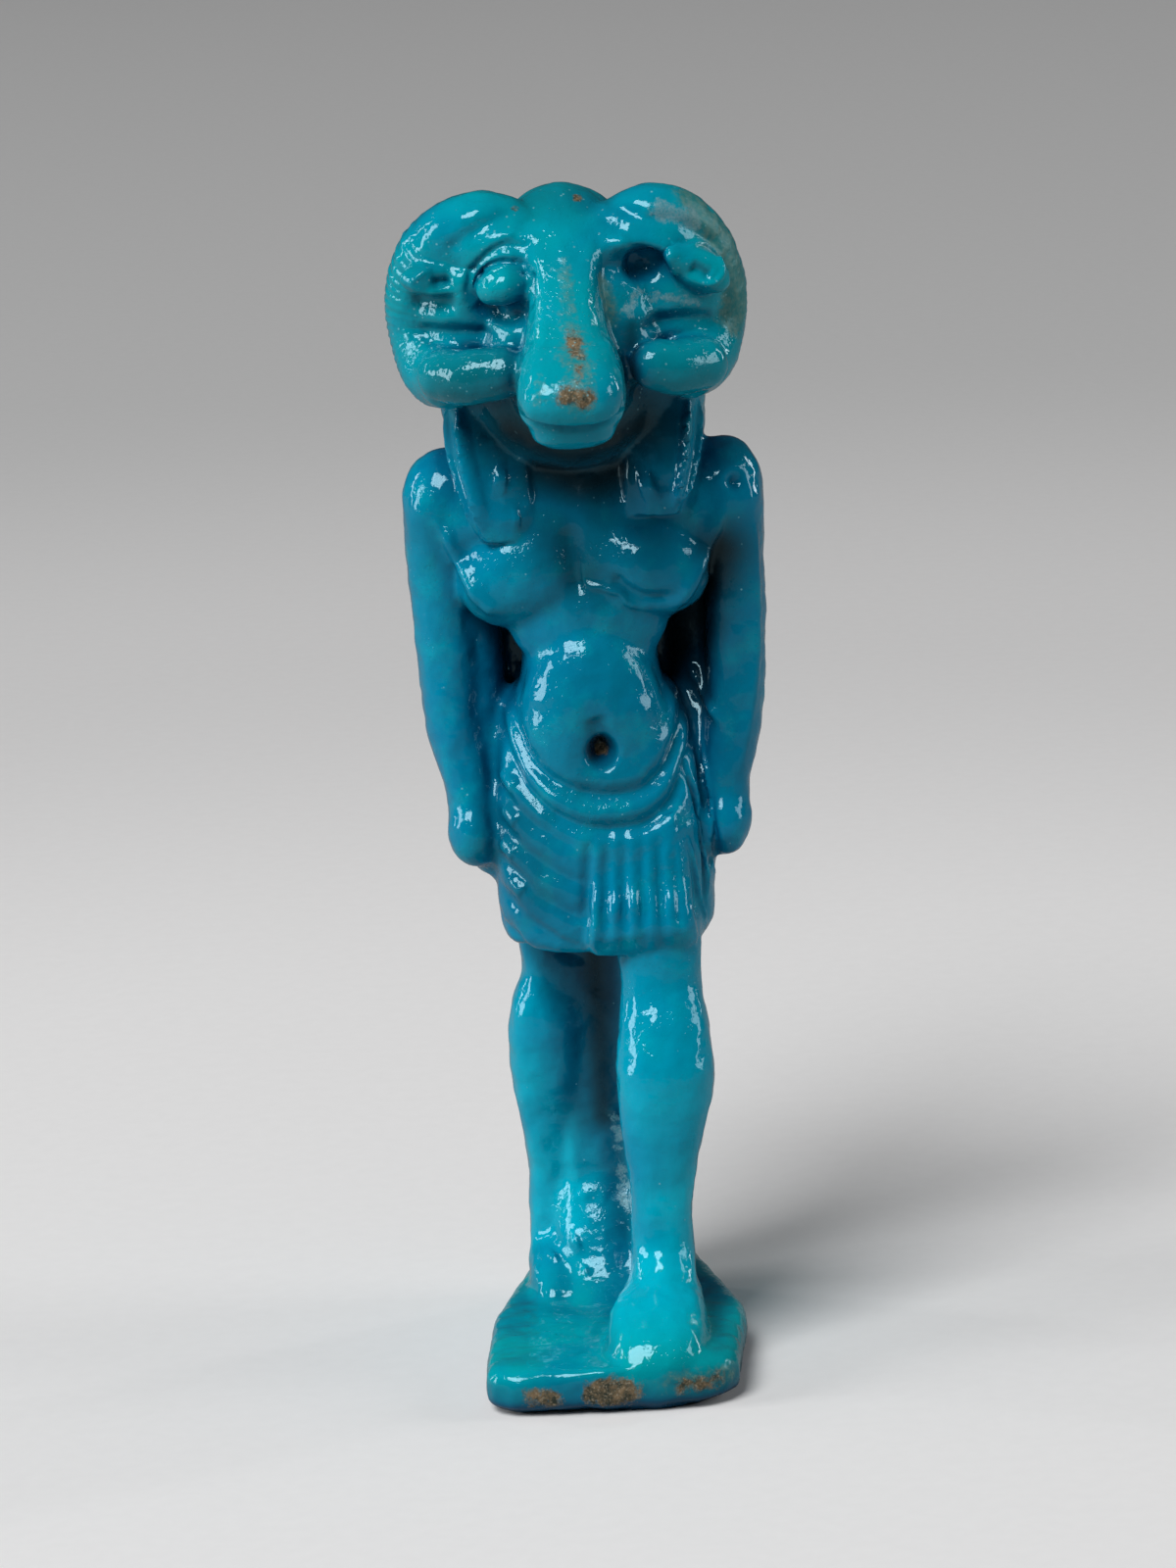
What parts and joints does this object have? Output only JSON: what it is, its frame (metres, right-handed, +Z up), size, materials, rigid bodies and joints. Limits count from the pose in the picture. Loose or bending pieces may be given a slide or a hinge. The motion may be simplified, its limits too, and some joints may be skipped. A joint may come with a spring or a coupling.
{
  "type": "ram-headed faience amulet",
  "caption": "Small glazed faience amulet: a striding ram-headed figure in a kilt, arms at its sides, on a tapering plinth with a back pillar.",
  "frame": {"origin": "point on the flat underside of the plinth, below the middle of the figure's shoulders", "axes": "+Z up along the figure, -Y the way the figure faces, +X to the right of a viewer who faces the figure"},
  "size_m": [0.0134, 0.0151, 0.0439],
  "materials": {
    "faience_glaze": "glossy turquoise glaze"
  },
  "bodies": {
    "root": {"ram_headed_amulet": "faience_glaze"}
  },
  "joints": []
}
